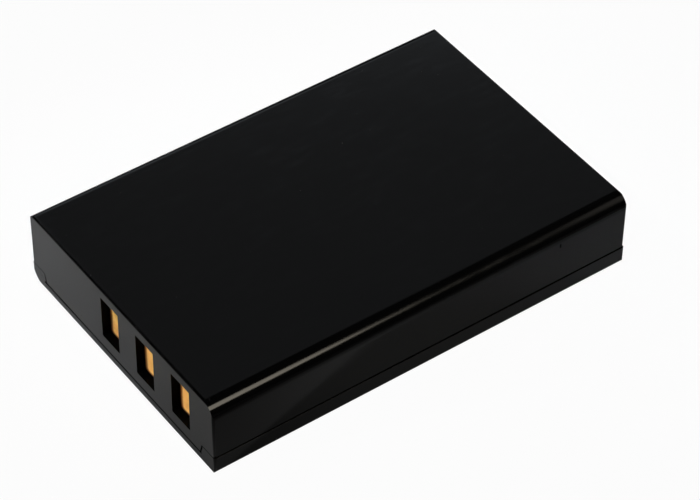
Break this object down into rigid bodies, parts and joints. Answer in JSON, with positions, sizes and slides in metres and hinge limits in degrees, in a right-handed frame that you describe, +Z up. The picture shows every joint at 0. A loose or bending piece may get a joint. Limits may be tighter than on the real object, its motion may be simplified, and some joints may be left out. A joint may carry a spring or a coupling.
{
  "type": "media player battery",
  "caption": "Flat rechargeable battery pack: two black plastic shells with a stepped parting line, keyed long edges and windows over gilt contacts, holding a sealed cell and a protection board.",
  "frame": {"origin": "middle of the underside, on the surface that the pack lies on", "axes": "+Y along the length from the contact end to the rear end, +Z up through the thickness, +X across the width towards the edge with the large upper radius"},
  "size_m": [0.035, 0.0534, 0.0096],
  "materials": {
    "case_black": "moulded black plastic, smooth satin gloss",
    "holder_black": "moulded black plastic, matt",
    "board_green": "green solder resist on glass laminate",
    "contact_gilt": "gold plate, satin",
    "chip_black": "moulded epoxy, matt, with tinned leads",
    "resistor_black": "glazed ceramic with tinned ends",
    "capacitor_tan": "ceramic with tinned ends",
    "thermistor_dark": "ceramic with tinned ends",
    "nickel": "rolled nickel, satin",
    "fuse_black": "polymer wafer, matt",
    "insulating_paper": "fibre paper, matt",
    "can_aluminium": "drawn aluminium, satin",
    "cap_aluminium": "stamped aluminium, satin",
    "gasket_white": "moulded plastic, off-white",
    "tape_clear": "adhesive transfer tape, amber",
    "foam_black": "closed-cell foam, matt"
  },
  "bodies": {
    "root": {"upper_case": "case_black", "lower_case": "case_black", "board_holder": "holder_black", "circuit_board": "board_green", "positive_contact": "contact_gilt", "sense_contact": "contact_gilt", "negative_contact": "contact_gilt", "protection_chip": "chip_black", "switch_chip": "chip_black", "resistors": "resistor_black", "capacitors": "capacitor_tan", "thermistor": "thermistor_dark", "positive_strip": "nickel", "negative_strip": "nickel", "fuse_link": "nickel", "thermal_fuse": "fuse_black", "cap_insulator": "insulating_paper", "cell_can": "can_aluminium", "cell_cap": "cap_aluminium", "fill_plug": "cap_aluminium", "negative_terminal": "nickel", "terminal_gasket": "gasket_white", "upper_tape": "tape_clear", "lower_tape": "tape_clear", "rear_pad": "foam_black"}
  },
  "joints": []
}
